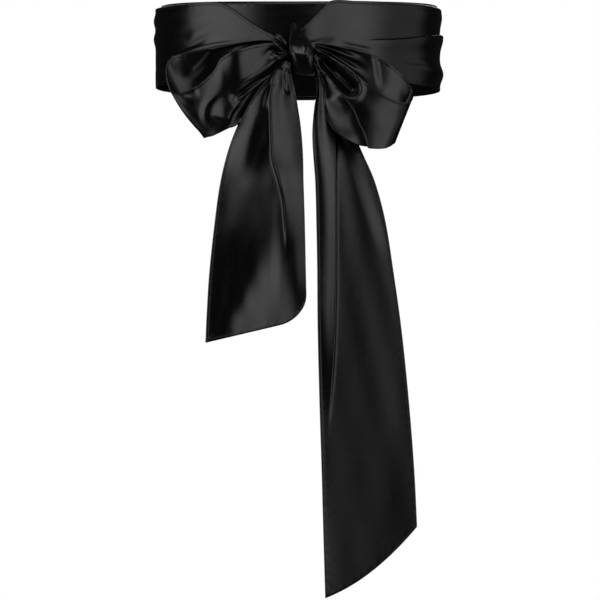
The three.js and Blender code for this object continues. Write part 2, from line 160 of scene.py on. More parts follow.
class RingWave(NamedTuple):
    """A slight wave on the first turn: its height, how often it comes round, and how it slants going down."""

    height: float
    times: float
    slant: float


class Limp(NamedTuple):
    """How uneven limp cloth is: a rough height, and the usual wave lengths along and across it, in mm."""

    height: float
    length: float
    width: float


class Softbox(NamedTuple):
    """One soft light: its name, its place, width and height in metres, and its power in watts."""

    name: str
    x: float
    y: float
    z: float
    width: float
    height: float
    power: float


@dataclass(frozen=True)
class Fold:
    """A fold along a smooth path: a ridge, or with a negative rise a valley.

    As a STEP it is a smooth ramp instead, width wide, from 0 on the left of the path's run to rise on its
    right. steep is 1 where the side on the right of the path's run falls off sharply, and -1 for the left
    side. lap is how far the crest then leans over that side, as in a pressed pleat. fade_in and fade_out are
    the shares of the path over which it rises from nothing and dies away. sharp is the power of the ridge's
    bump: its flanks are steeper as it grows.
    """

    path: tuple[tuple[float, float], ...]
    width: float
    rise: float
    steep: int = 0
    fade_in: float = 0.3
    fade_out: float = 0.3
    lap: float = 0.0
    sharp: float = 2.0
    layer: Layer = Layer.FRONT
    profile: Profile = Profile.RIDGE


@dataclass(frozen=True)
class Cut:
    """The slanting cut at a tail's end, in mm, with its rounded corner as a share of the width."""

    rise: float
    bulge: float
    corner: float
    corner_rise: float


# Edge lines of the outer turn. Each side's angles grow from the front to the back.
RIGHT_TURN = (
    Reach(-2, 2, -18, 8.6),
    Reach(3, 11, -25, 8),
    Reach(8, 23, -30, 6),
    Reach(12.5, 31.8, -33, 5),
    Reach(22, 32.4, -35, 4.2),
    Reach(40, 33.6, -37, 3.7),
    Reach(60, 34.6, -38.3, 3.6),
    Reach(78, 35.4, -38.6, 3.6),
    Reach(95, 36.2, -38.4, 3.6),
    Reach(125, 37, -38, 3.6),
    Reach(160, 37, -37, 3.6),
    Reach(190, 36.5, -36.5, 3.6),
)
LEFT_TURN = (
    Reach(5, -4, -17, 9.5),
    Reach(9, 0, -20, 8.5),
    Reach(14.5, 7, -23, 6.6),
    Reach(19, 13.5, -25, 5.5),
    Reach(26, 24.5, -26, 4.6),
    Reach(33, 32.2, -26, 4.1),
    Reach(47, 33.5, -23, 3.8),
    Reach(64, 34.6, -16, 4.2),
    Reach(78, 35.8, -19, 5.4),
    Reach(90, 36.8, -23.5, 5.8),
    Reach(112, 37.2, -31, 4.6),
    Reach(145, 37, -36, 3.8),
    Reach(162, 36.8, -37, 6),
    Reach(192, 36.5, -37, 6.2),
)
# Sections of the loops and tails, starting at the knot. Edge a is the upper or left one.
LEFT_LOOP = (
    Section(0, -14.4, -107, -6, -14.4, -108, -19, 0, 1.2),
    Section(0.07, -32, -105, -4, -31, -105, -39, 1, 1.4),
    Section(0.14, -52, -102, -6, -47, -102, -59, 2, 0.8),
    Section(0.22, -74, -99, -10, -62, -99.5, -75, 1, 0),
    Section(0.29, -94, -98.4, -13.4, -74, -99.6, -83),
    Section(0.335, -104, -99.2, -16, -78, -100.6, -87),
    Section(0.375, -112, -102.8, -19, -81, -103.4, -89, 1.5, 0),
    Section(0.42, -116, -106, -27, -82.4, -107.6, -89.8, 3, 0),
    Section(0.46, -115.2, -110.4, -39, -82, -111.6, -89.8, 3, 0),
    Section(0.5, -110, -113, -51, -80.4, -114.6, -89.5, 2.5, 0),
    Section(0.56, -98, -115.3, -49.5, -75, -117, -88.5, 1.5, 0),
    Section(0.63, -85.5, -116.4, -43, -69, -118.8, -86, 2, 0),
    Section(0.7, -74, -119, -32.5, -61, -119.4, -82, 3, 0),
    Section(0.77, -67, -122.6, -21.5, -54, -117.5, -79, 3, 0),
    Section(0.84, -54, -126.8, -15.5, -44, -116, -68, 2, 0),
    Section(0.91, -37, -121.5, -10, -30, -115, -48, 1, 0.3),
    Section(0.96, -23.5, -116.5, -8, -20, -115.5, -33, 0, 1.2),
    Section(1, -9.4, -115.5, -11, -9.2, -115.5, -23, 0, 1),
)
RIGHT_LOOP = (
    Section(0, 14.4, -108, -7, 14.4, -109, -19, 0, 1.2),
    Section(0.07, 29, -110, -9, 28, -112, -40, 1, 1.4),
    Section(0.14, 46, -106.8, -12, 41, -109, -65, 0, 0.8),
    Section(0.22, 64, -106.2, -17, 54, -107.6, -86),
    Section(0.3, 80, -105, -25, 66, -106.4, -95.5),
    Section(0.37, 92.6, -101, -36, 77, -103.4, -97.4),
    Section(0.43, 99.2, -101.6, -47, 82.6, -105, -94.8),
    Section(0.49, 98.9, -108.6, -55, 82.6, -112.8, -94.8),
    Section(0.55, 93.6, -116.4, -59.5, 76, -120.6, -99.2),
    Section(0.61, 84, -121.6, -58, 64.5, -124, -100),
    Section(0.68, 71, -124.4, -52, 53, -124.4, -98, 1, 0),
    Section(0.75, 58, -124.4, -43, 41, -123, -92, 2, 0),
    Section(0.82, 46, -124, -32.5, 30, -122, -84, 2, 0.4),
    Section(0.89, 34.5, -123, -24.5, 22.6, -121, -69, 1, 0.6),
    Section(0.95, 24, -120.5, -18, 20.8, -120.8, -48, 0, 0.7),
    Section(1, 13.9, -117.5, -12.5, 12.9, -118.6, -26.5, 0, 0.6),
)
LEFT_TAIL = (
    Section(0, -12.6, -120.6, -23.4, -6.6, -122.4, -25.4, 0, 0.4),
    Section(0.05, -25, -122, -37, -6, -122, -38, 0, 0.8),
    Section(0.11, -36, -121.5, -50, -3.4, -121, -50, 0, 0.6),
    Section(0.18, -45.6, -120.5, -65, -0.8, -119.5, -65, 0, 0.2),
    Section(0.25, -54, -119.5, -81, 1.6, -118.5, -81),
    Section(0.34, -62.2, -118.5, -103, 3.4, -118, -103),
    Section(0.45, -68.7, -118, -130, 4, -118, -130),
    Section(0.58, -73.2, -118, -162, 5, -118, -162),
    Section(0.76, -78.1, -118, -207.5, 6, -118, -207.5),
    Section(0.9, -80.4, -118, -242.5, 6.9, -118, -242.5),
    Section(1, -81.6, -118, -268.4, 7.4, -118, -268.4),
)
# How the left tail hangs, from the bottom up.
LEFT_TAIL_DRAPE = (
    Drape(-262, -9.5, -9.5, -8.5, -5, -1, 3, 7, 10.5, 12.5),
    Drape(-250, -9, -9, -8, -4.5, -1, 3, 6.5, 10, 12),
    Drape(-231, -8, -8, -8, -7, -3.5, 0.5, 4.5, 7.5, 8.5),
    Drape(-209, -6.5, -6.5, -6.5, -6.2, -5, -1.5, 3, 5, 4),
    Drape(-188, -6, -5.5, -5, -4, -3, -1, 2.5, 3.5, 2),
    Drape(-166, -6.5, -5, -3.4, -1.8, 0, 1.8, 4, 4, 2.4),
    Drape(-144, -6.5, -5, -3, -1, 1, 3, 5, 5, 4),
    Drape(-127, -7, -4.8, -2.4, 0.2, 2.4, 4.6, 6, 6, 5.5),
    Drape(-109, -7, -3.4, -0.4, 0.6, 1.4, 2.6, 4, 4, 4),
    Drape(-92, -6.5, -2, 1, 1.5, 1.5, 1.5, 2, 2, 2),
    Drape(-75, -5, -1.5, 1, 1.5, 1.5, 1.5, 1.5, 1.5, 1.5),
    Drape(-57, -2.5, -0.5, 0.5, 1, 1, 1, 1, 1, 1),
    Drape(-40, 0, 0, 0, 0, 0, 0, 0, 0, 0),
)
RIGHT_TAIL = (
    Section(0, 12.1, -114, -27.6, 18.8, -113, -27.6, 0, 0.4),
    Section(0.04, 15.8, -112, -46, 30, -107.5, -46, 0, 1.4),
    Section(0.08, 13.4, -110.5, -65, 39, -106, -65, 0.5, 1.6),
    Section(0.12, 11.8, -110, -84, 47, -106, -84, 0.5, 1.2),
    Section(0.16, 12.3, -110.8, -102, 55, -107.6, -102, 0, 0.7),
    Section(0.22, 14.1, -114, -128, 66.2, -110, -128, 0, 0.2),
    Section(0.29, 15, -116.4, -162, 75.2, -111.6, -162),
    Section(0.39, 15.8, -117.8, -205, 82, -112.6, -205),
    Section(0.5, 16.2, -118.6, -257, 89.2, -113.2, -257),
    Section(0.63, 17.7, -119, -318, 95.5, -113.4, -318, 0.4, 0),
    Section(0.76, 19.6, -119, -378, 100.2, -113.4, -378, 0.8, 0),
    Section(0.87, 21, -118.6, -429, 102.8, -112.8, -429, 1.5, 0),
    Section(1, 22.8, -118, -489.6, 105.6, -112.6, -489.6, 1.5, 0),
)
# Rings of the knot from the top down, and the small rolled folds beside it.
KNOT = (
    KnotRing(10.4, -4, -108, 1.2, 1.5, 2),
    KnotRing(5.4, -2.6, -109, 4, 3.2, 2),
    KnotRing(0.2, -1, -111.5, 6.7, 5.2, 2.2),
    KnotRing(-5.8, 0.8, -114, 9.2, 8.4, 2.8),
    KnotRing(-9, 1.4, -115, 10.2, 10, 3.6),
    KnotRing(-13, 1.9, -116, 11, 12, 4.4),
    KnotRing(-18.6, 2.4, -116.5, 11.1, 14.4, 4.4),
    KnotRing(-20.4, 2.7, -116.5, 10.8, 14.8, 4.4),
    KnotRing(-23, 3.1, -116.5, 10.2, 14.6, 4.4),
    KnotRing(-27, 3.6, -116.3, 9.4, 13.8, 4.4),
    KnotRing(-31, 4, -115.8, 8.8, 12.6, 4.4),
    KnotRing(-35, 4.2, -115, 8.2, 11, 4.4),
)
EAR_ROLLS = (
    (
        RollPoint(0, -20.6, -116, -4.6, 1),
        RollPoint(0.25, -18.6, -117.4, -3.4, 3),
        RollPoint(0.5, -15, -118, -5.6, 3.2),
        RollPoint(0.75, -11.8, -118.4, -9.4, 2.4),
        RollPoint(1, -9.8, -118.4, -12.4, 1),
    ),
    (
        RollPoint(0, -23.4, -117, -5.6, 0.7),
        RollPoint(0.35, -19.6, -119.4, -9.4, 1.1),
        RollPoint(0.7, -14.6, -120, -14, 1.2),
        RollPoint(1, -9.6, -120, -17.6, 0.8),
    ),
)
CURL = (
    RollPoint(0, 9, -123.6, -33.4, 0.5),
    RollPoint(0.3, 9.2, -124.2, -35.6, 0.8),
    RollPoint(0.6, 11, -124.6, -37, 1),
    RollPoint(0.85, 12.8, -124.2, -36, 0.8),
    RollPoint(1, 13.2, -123.6, -34, 0.5),
)
LEFT_TAIL_CUT = Cut(20, 0, 0.27, 20)
RIGHT_TAIL_CUT = Cut(61, 8, 0, 0)

# Folds. A point of a path is an angle and a height on the turns, and x and z elsewhere.
LEFT_TURN_FOLDS = (
    Fold(((34, 8), (42, 0), (52, -6), (70, -9)), 3.2, -1.1),
    Fold(((30, 16), (40, 8), (52, 3)), 5, 0.6),
    Fold(((16, 0), (24, -3.5), (34, -5.5), (46, -8), (60, -11.5), (74, -12)), 2.2, 1.1),
    Fold(((150, 8), (110, 10), (72, 8)), 6, 2.4),
    Fold(((168, 28), (110, 26), (66, 25)), 5.5, 2.2),
    Fold(((168, -20), (130, -20), (104, -16)), 6, 2.6),
    Fold(((168, -4), (124, -5), (88, -3)), 5, 2),
)
RIGHT_TURN_FOLDS = (
    Fold(
        ((160, 6), (120, 9), (82, 9.4), (60, 4.5), (43.5, 0), (29.6, -2.3), (18, -5.5)),
        9, 3.2, 1, 0.2, 0.3, 1.6,
    ),
    Fold(((150, 27), (90, 29), (30, 22)), 8, 2),
    Fold(((148, -24), (96, -24), (40, -18)), 7, 3.2),
    Fold(((78, -17), (60, -20.5), (41, -21.5)), 1.6, -0.8),
    Fold(((14, -5), (22, -8), (32, -11.5)), 2, -0.9),
    Fold(((3, -7), (7, -5), (11, -2.5), (14.5, 0)), 2.6, -1.1, 0, 0, 0.6),
)
LEFT_LOOP_FOLDS = (
    Fold(((-106.5, -54.8), (-99, -58.6), (-90, -59.5)), 3, 1.2, 0, 0.3, 0.6),
    Fold(((-103, -50), (-94, -51.5), (-86, -49)), 3.6, -1.2),
    Fold(
        ((-64, -50), (-72, -54), (-79, -61), (-81.6, -69.9), (-79, -77), (-70, -80.6)),
        3.4, 1.5, 0, 0.35, 0.45,
    ),
    Fold(((-10.4, -22.5), (-26, -35), (-42.4, -46.2), (-54.5, -55.8), (-61, -61)), 2.2, -3.6, 0, 0, 0.3),
    Fold(((-20, -24), (-32, -32.5), (-50, -43.5), (-58, -49)), 1.6, 1, 0, 0.2, 0.4),
    Fold(((-17, -30), (-26.8, -38), (-42.4, -50), (-51, -59.2), (-57, -66)), 5, 3, -1, 0.1, 0.4),
    Fold(((-50, -58.5), (-57.6, -67.5), (-62.4, -79)), 12, 3.6, -1, 0.4, 0.2),
    Fold(((-13.8, -27.5), (-29.4, -43), (-44, -63), (-56, -81)), 2.6, -3, 0, 0.1, 0.2),
    Fold(((-27, -12), (-20, -16), (-14, -20)), 1.8, -1.4, 0, 0.2, 0.1),
    Fold(((-26, -14), (-22, -17), (-16, -20)), 1.4, 1.1, 0, 0.2, 0.1),
    Fold(
        ((-74, -12), (-83, -22.5), (-92, -32), (-101, -42)),
        10, 3, 0, 0, 0.4, layer=Layer.BACK, profile=Profile.STEP,
    ),
)
RIGHT_LOOP_FOLDS = (
    Fold(((16, -20), (28.6, -31), (38.5, -41), (46, -48.5)), 5.8, -8, 0, 0.25, 0, sharp=2.3),
    Fold(
        (
            (35.5, -23), (46, -31), (51.4, -40.5), (53, -49), (49.8, -55.6),
            (43.3, -57), (36.4, -52.4), (28, -42), (20, -31),
        ),
        3, 2.2, 0, 0.2, 0.2,
    ),
    Fold(
        ((28, -45), (33.8, -53.5), (40, -60.5), (46, -69), (50.3, -79.5), (54.6, -88), (58, -99)),
        11, 4.6, -1, 0.2, 0, 2,
    ),
    Fold(((18, -33), (22, -45), (27, -59)), 4, -3, 0, 0.1, 0.4),
    Fold(((71, -50), (68.8, -34), (66.4, -19)), 7, -2.4, 0, 0.6, 0, layer=Layer.BACK, profile=Profile.STEP),
)
LEFT_TAIL_FOLDS = (
    Fold(
        (
            (-13, -25), (-20, -40), (-22.6, -60), (-22.4, -75), (-21.8, -95), (-20.6, -110), (-15.6, -127),
            (-11.6, -147), (-11, -170), (-11, -190),
        ),
        12, 8, 1, 0.06, 0.36, 1.4, 1.15,
    ),
    Fold(((-13, -27), (-20, -41), (-27, -56), (-32, -71)), 3, -2.2, 0, 0.1, 0.4),
    Fold(((-9.9, -25), (-10.4, -37), (-7.8, -49), (-5, -56)), 2, 1.4, 0, 0.1, 0.4),
    Fold(((-13.6, -32), (-13.8, -45), (-10, -56)), 2.4, -1.2, 0, 0.2, 0.5),
)
RIGHT_TAIL_FOLDS = (
    Fold(
        ((24, -50), (29, -70), (30.4, -100), (30.8, -144), (30.8, -205), (30, -257), (29, -290), (25, -350)),
        9, 6.8, -1, 0.1, 0.45, 1.4, 1.1,
    ),
    Fold(
        ((78, -200), (71, -178.8), (59.1, -144.1), (52.6, -122.3), (44, -92)),
        13, -1.2, 0, 0.3, 0.3, profile=Profile.STEP,
    ),
)
KNOT_FOLDS = (
    Fold(((-3, 9.6), (-5.6, 0), (-7.6, -10), (-8, -17)), 0.55, 0.9, 0, 0.05, 0.1),
    Fold(((-1.6, 8.6), (-4.2, -1), (-5.6, -9), (-5.4, -16)), 0.5, 0.9, 0, 0.05, 0.2),
    Fold(((10.4, -6.5), (6.8, -13), (4.8, -19.6)), 0.6, 0.9, 0, 0.2, 0.1),
    Fold(((12.4, -9), (9.4, -15), (7.6, -22)), 0.6, 0.9, 0, 0.2, 0.1),
    Fold(((2, 0), (0.4, -9), (-1, -17)), 0.5, 0.6, 0, 0.2, 0.2),
)
FIRST_TURN_WAVES = (
    RingWave(0.3, 1, 2 * math.pi),
    RingWave(0.12, 3, 5),
    RingWave(0.08, 7, -9),
)
SOFTBOXES = (
    Softbox("left light", -1.61, -1.1, 0.15, 1.75, 2.2, 7.8),
    Softbox("right light", 1.17, -1.6, 0.15, 1.3, 2.2, 4.6),
    Softbox("far right light", 1.86, -0.4, 0.15, 1.5, 2.2, 1.6),
    Softbox("top light", 0, -1.3, 1.85, 1.8, 1.0, 4.2),
    Softbox("back light", 0, 2.0, 1.7, 2.4, 1.6, 14),
)


def ease(value: np.ndarray) -> np.ndarray:
    """Rises smoothly from 0 to 1 as the value does, with a level start and end."""
    value = np.clip(value, 0, 1)
    return value * value * (3 - 2 * value)


def unit(vectors: np.ndarray) -> np.ndarray:
    """The same vectors, one unit long."""
    return vectors / np.maximum(np.linalg.norm(vectors, axis=-1, keepdims=True), TINY)


def forwards(shift: np.ndarray) -> np.ndarray:
    """Turns shifts to the right, up and towards the front into shifts along x, y and z."""
    return shift[..., [0, 2, 1]] * (1, -1, 1)


def through(rows: np.ndarray, at: np.ndarray) -> np.ndarray:
    """A smooth cubic curve through rows, whose first column is the place.

    Between two rows it is the cubic with their values, and with slopes taken from the rows on both sides.

    Args:
        rows: the table, one row a place.
        at: the places asked for, of any shape.

    Returns:
        The other columns at those places, as the last axis.
    """
    place, values = rows[:, 0], rows[:, 1:]
    before = np.maximum(np.arange(len(rows)) - 1, 0)
    after = np.minimum(np.arange(len(rows)) + 1, len(rows) - 1)
    slopes = (values[after] - values[before]) / (place[after] - place[before])[:, None]
    low = np.clip(np.searchsorted(place, at, side="right") - 1, 0, len(rows) - 2)
    span = (place[low + 1] - place[low])[..., None]
    t = np.clip((at - place[low])[..., None] / span, 0, 1)
    bend = ease(t)
    return (
        values[low] * (1 - bend)
        + values[low + 1] * bend
        + span * (slopes[low] * t * (1 - t) ** 2 - slopes[low + 1] * t * t * (1 - t))
    )


class Beside(NamedTuple):
    """How points lie beside a path: their distance, how far to its right, the share passed, and its right."""

    distance: np.ndarray
    to_right: np.ndarray
    share: np.ndarray
    right: np.ndarray


def beside_path(line: np.ndarray, points: np.ndarray) -> Beside:
    """Where points lie beside the nearest of a path's short straight runs.

    Args:
        line: the path's points, in order.
        points: the points asked for.

    Returns:
        One value, or one direction, for each point.
    """
    start, run = line[:-1], np.diff(line, axis=0)
    lengths = np.linalg.norm(run, axis=1)
    before = np.concatenate([[0], np.cumsum(lengths)[:-1]])
    reach = points[:, None] - start
    t = np.clip((reach * run).sum(-1) / lengths**2, 0, 1)
    miss = reach - t[..., None] * run
    distance = np.linalg.norm(miss, axis=-1)
    nearest = distance.argmin(axis=1)
    pick = np.arange(len(points)), nearest
    share = (before[nearest] + t[pick] * lengths[nearest]) / lengths.sum()
    right = np.stack([run[:, 1], -run[:, 0]], -1)[nearest] / lengths[nearest, None]
    return Beside(distance[pick], (miss[pick] * right).sum(-1), share, right)


def fold_shift(folds: tuple[Fold, ...], a: np.ndarray, b: np.ndarray, scale: float = 1.0) -> np.ndarray:
    """Summed shifts of folds. A ridge is rise times exp(-(d / width)^sharp), with d the distance to its path.

    A step is rise times the smooth step of 0.5 + s / width, with s the distance to the right of the path. A
    lapped fold also moves its crest sideways, towards its steep side, by lap times the same bump.

    Args:
        folds: the folds to sum.
        a: the first coordinate, in the folds' own units.
        b: the second coordinate, in mm.
        scale: the real length of one unit of a.

    Returns:
        Shifts along a, along b and upwards, in mm, as the last axis.
    """
    total = np.zeros((*a.shape, 3))
    points = np.stack([a.ravel() * scale, b.ravel()], axis=-1)
    for fold in folds:
        path = np.array(fold.path, float) * (scale, 1)
        rows = np.column_stack([np.linspace(0, 1, len(path)), path])
        near = beside_path(through(rows, np.linspace(0, 1, PATH_STEPS * len(path))), points)
        steep_side = near.to_right * fold.steep > 0
        if fold.profile is Profile.STEP:
            bump = ease(0.5 + near.to_right / fold.width)
        else:
            width = np.where(steep_side, fold.width * STEEP_SHARE, fold.width)
            bump = np.exp(-((near.distance / width) ** fold.sharp))
        if fold.fade_in:
            bump = bump * ease(near.share / fold.fade_in)
        if fold.fade_out:
            bump = bump * ease((1 - near.share) / fold.fade_out)
        lean = np.exp(-((near.distance / (LAP_REACH * fold.lap + LAP_LEAST)) ** 2))
        leaning = fold.lap * (bump * np.where(steep_side, 1, lean))
        shift = np.column_stack([near.right * fold.steep * leaning[:, None], fold.rise * bump])
        total += shift.reshape(total.shape)
    return total


def ripples(a: np.ndarray, b: np.ndarray, seed: int, limp: Limp) -> np.ndarray:
    """Slight unevenness of limp cloth: a sum of seeded sine waves, long along a and short across b.

    Args:
        a: place along the cloth, in mm.
        b: place across it, in mm.
        seed: which set of waves.
        limp: how high and how long the waves are.

    Returns:
        Heights in mm.
    """
    rng = np.random.default_rng(seed)
    total = np.zeros(np.broadcast(a, b).shape)
    for _ in range(RIPPLE_WAVES):
        along, across = rng.uniform(*RIPPLE_SPREAD, 2) / (limp.length, limp.width) * 2 * math.pi
        total += np.sin(a * along * rng.choice([-1, 1]) + b * across + rng.uniform(0, 2 * math.pi))
    return total * limp.height / math.sqrt(RIPPLE_WAVES)


def around(angle: np.ndarray, out: np.ndarray, z: np.ndarray) -> np.ndarray:
    """Points on the waist's oval, moved out: x = (A + out) sin(angle), y = -(B + out) cos(angle).

    Args:
        angle: degrees round from the front, growing to the right.
        out: how far outside the oval, in mm.
        z: heights in mm.

    Returns:
        The points in mm.
    """
    turn = np.radians(angle)
    x = (WAIST_HALF_WIDTH + out) * np.sin(turn)
    y = -(WAIST_HALF_DEPTH + out) * np.cos(turn)
    return np.stack(np.broadcast_arrays(x, y, z), axis=-1)


def span_lengths(points: np.ndarray, axis: int) -> np.ndarray:
    """Running length of a grid's lines along one axis, from 0 at the first point.

    Args:
        points: the grid, in mm.
        axis: 0 for the lines along the cloth, and 1 for those across it.

    Returns:
        One length in mm for each point.
    """
    steps = np.linalg.norm(np.diff(points, axis=axis), axis=-1)
    start = np.zeros_like(np.take(steps, [0], axis=axis))
    return np.concatenate([start, np.cumsum(steps, axis=axis)], axis=axis)


def make_mesh(
    name: str, vertices: np.ndarray, faces: list[np.ndarray], maps: dict[str, np.ndarray]
) -> bpy.types.Object:
    """Puts arrays into a new smooth mesh object at the origin.

    Args:
        name: the object's name.
        vertices: points in metres.
        faces: arrays of vertex numbers, one array for each number of corners.
        maps: UV maps by name, one pair for each face corner.

    Returns:
        The object, linked to the scene.
    """
    mesh = bpy.data.meshes.new(name)
    mesh.vertices.add(len(vertices))
    mesh.vertices.foreach_set("co", np.ascontiguousarray(vertices, np.float32).ravel())
    corners = np.concatenate([f.ravel() for f in faces])
    sizes = np.concatenate([np.full(len(f), f.shape[1]) for f in faces])
    mesh.loops.add(len(corners))
    mesh.loops.foreach_set("vertex_index", corners.astype(np.int32))
    mesh.polygons.add(len(sizes))
    mesh.polygons.foreach_set("loop_start", np.concatenate([[0], np.cumsum(sizes)[:-1]]).astype(np.int32))
    mesh.polygons.foreach_set("use_smooth", np.ones(len(sizes), bool))
    for key, values in maps.items():
        layer = mesh.uv_layers.new(name=key)
        layer.data.foreach_set("uv", np.ascontiguousarray(values, np.float32).ravel())
    mesh.update(calc_edges=True)
    mesh.validate()
    made = bpy.data.objects.new(name, mesh)
    bpy.context.scene.collection.objects.link(made)
    return made


@dataclass
class ClothGrid:
    """A strip of cloth as a grid of middle points, points[i, j], running along i and across j, in mm."""

    points: np.ndarray
    closed: bool = False
    hem_end: bool = False

    def normals(self) -> np.ndarray:
        """Works out the cross product of the grid's two directions, one unit long.

        Returns:
            The normals. On a ring the last row is the first one again.
        """
        grid = self.points
        if self.closed:
            grid = np.concatenate([grid[-2:-1], grid, grid[1:2]])
        along = np.gradient(grid, axis=0)
        along = along[1:-1] if self.closed else along
        return unit(np.cross(along, np.gradient(self.points, axis=1)))

    def area(self) -> float:
        """Area of one layer, in square metres: the summed cross products of the grid's steps."""
        ahead, beside = np.diff(self.points, axis=0)[:, :-1], np.diff(self.points, axis=1)[:-1]
        return float(np.linalg.norm(np.cross(ahead, beside), axis=-1).sum()) * MM * MM

    def hem_distance(self) -> tuple[np.ndarray, np.ndarray]:
        """Measures each point from the nearest hemmed edge, as lengths along the grid's lines.

        Returns:
            How far off the edge is, and how far along it the point lies, in mm.
        """
        across = span_lengths(self.points, 1)
        along = span_lengths(self.points, 0)
        edge, run = np.minimum(across, across[:, -1:] - across), along
        if self.hem_end:
            to_end = along[-1:] - along
            run = np.where(to_end < edge, across, along)
            edge = np.minimum(edge, to_end)
        return edge, run

    def faces(self) -> tuple[np.ndarray, np.ndarray]:
        """The wall's quads: two sides, two long rims, and two ends unless the strip is a ring.

        Returns:
            The quads' vertex numbers, and the grid point that each of their corners has.
        """
        rows, columns = self.points.shape[:2]
        kept = rows - 1 if self.closed else rows
        ids = (np.arange(rows) % kept)[:, None] * columns + np.arange(columns)
        grid_id = np.arange(rows * columns).reshape(rows, columns)
        near, far, first, last = slice(None, -1), slice(1, None), slice(0, 1), slice(-1, None)
        orders = [
            [(0, near, near), (0, far, near), (0, far, far), (0, near, far)],
            [(1, near, near), (1, near, far), (1, far, far), (1, far, near)],
            [(0, near, first), (1, near, first), (1, far, first), (0, far, first)],
            [(0, near, last), (0, far, last), (1, far, last), (1, near, last)],
        ]
        if not self.closed:
            orders.append([(0, first, near), (0, first, far), (1, first, far), (1, first, near)])
            orders.append([(0, last, near), (1, last, near), (1, last, far), (0, last, far)])
        quads, corners = [], []
        for order in orders:
            quad = np.stack([ids[i, j] + side * kept * columns for side, i, j in order], -1)
            quads.append(quad.reshape(-1, 4))
            corners.append(np.stack([grid_id[i, j] for _, i, j in order], -1).ravel())
        return np.concatenate(quads), np.concatenate(corners)

    def build(self, name: str) -> bpy.types.Object:
        """Makes the closed wall: each point moved half the thickness to both sides, with the rims closed.

        The thickness is THICKNESS, and HEM_EXTRA more in a rolled hem at the edges.

        Args:
            name: the object's name.

        Returns:
            The object, with the UV maps Cloth (along, across) and Hem (from the edge, along it), in metres.
        """
        edge, run = self.hem_distance()
        along = span_lengths(self.points, 0)
        LOG.info("%s: %.4f m2 of cloth, %.0f mm long", name, self.area(), along[-1].mean())
        hem = HEM_EXTRA * np.exp(-(((edge - HEM_WIDTH / 2) / (HEM_WIDTH / 2)) ** 2))
        half = 0.5 * (THICKNESS + hem) * np.sqrt(np.clip(RIM_SHARE + edge / RIM_ROUND, 0, 1))
        offset = self.normals() * half[..., None]
        sides = np.stack([self.points + offset, self.points - offset])
        if self.closed:
            sides = sides[:, :-1]
        even = np.broadcast_to(along.mean(axis=1, keepdims=True), along.shape)
        spread = {"Cloth": (even, span_lengths(self.points, 1)), "Hem": (edge, run)}
        quads, corners = self.faces()
        maps = {key: np.stack(pair, -1).reshape(-1, 2)[corners] * MM for key, pair in spread.items()}
        return make_mesh(name, sides.reshape(-1, 3) * MM, [quads], maps)


class Lump(NamedTuple):
    """A closed rounded solid in mm: rings[i, k], all running the same way round, and a point at each end."""

    rings: np.ndarray
    first: np.ndarray
    last: np.ndarray


def make_lumps(name: str, lumps: list[Lump]) -> bpy.types.Object:
    """Closed rounded solids in one mesh.

    Args:
        name: the object's name.
        lumps: the solids.

    Returns:
        The object, with the UV maps Cloth and Hem in metres.
    """
    vertices, quads, triangles, cloth = [], [], [], []
    done = 0
    for rings, first, last in lumps:
        count, steps = rings.shape[:2]
        ids = done + np.arange(count * steps).reshape(count, steps)
        follow = np.roll(ids, -1, axis=1)
        quads.append(np.stack([ids[:-1], follow[:-1], follow[1:], ids[1:]], -1).reshape(-1, 4))
        triangles.append(np.stack([np.full(steps, done + count * steps), follow[0], ids[0]], -1))
        triangles.append(np.stack([np.full(steps, done + count * steps + 1), ids[-1], follow[-1]], -1))
        points = np.concatenate([rings.reshape(-1, 3), first[None], last[None]])
        turn = np.arctan2(*(points[:, :2] - points[:, :2].mean(axis=0)).T)
        cloth.append(np.stack([points[:, 2] * MM, turn * ROLL_RADIUS], -1))
        vertices.append(points)
        done += len(points)
    faces = [np.concatenate(quads), np.concatenate(triangles)]
    corners = np.concatenate([f.ravel() for f in faces])
    maps = {"Cloth": np.concatenate(cloth)[corners], "Hem": np.full((len(corners), 2), FAR_FROM_HEM)}
    return make_mesh(name, np.concatenate(vertices) * MM, faces, maps)


def roll(points: tuple[RollPoint, ...], rings: int = 40, steps: int = 24, tip: float = 0.5) -> Lump:
    """A small rolled fold: round sections, square to a smooth line, with its half thickness.

    Args:
        points: places along the line.
        rings: how many sections.
        steps: points in a section.
        tip: how far the end points stand out, as a share of the half thickness there.

    Returns:
        The rolled fold.
    """
    values = through(np.array(points, float), np.linspace(0, 1, rings))
    line, thick = values[:, :3], values[:, 3:]
    ahead = unit(np.gradient(line, axis=0))
    side = unit(np.cross(ahead, (0.0, 1.0, 0.0)))
    out = np.cross(side, ahead)
    turn = np.linspace(0, 2 * math.pi, steps, endpoint=False)[None, :, None]
    ring = line[:, None] + thick[:, None] * (side[:, None] * np.cos(turn) + out[:, None] * np.sin(turn))
    reach = tip * ahead * thick
    return Lump(ring, line[0] - reach[0], line[-1] + reach[-1])


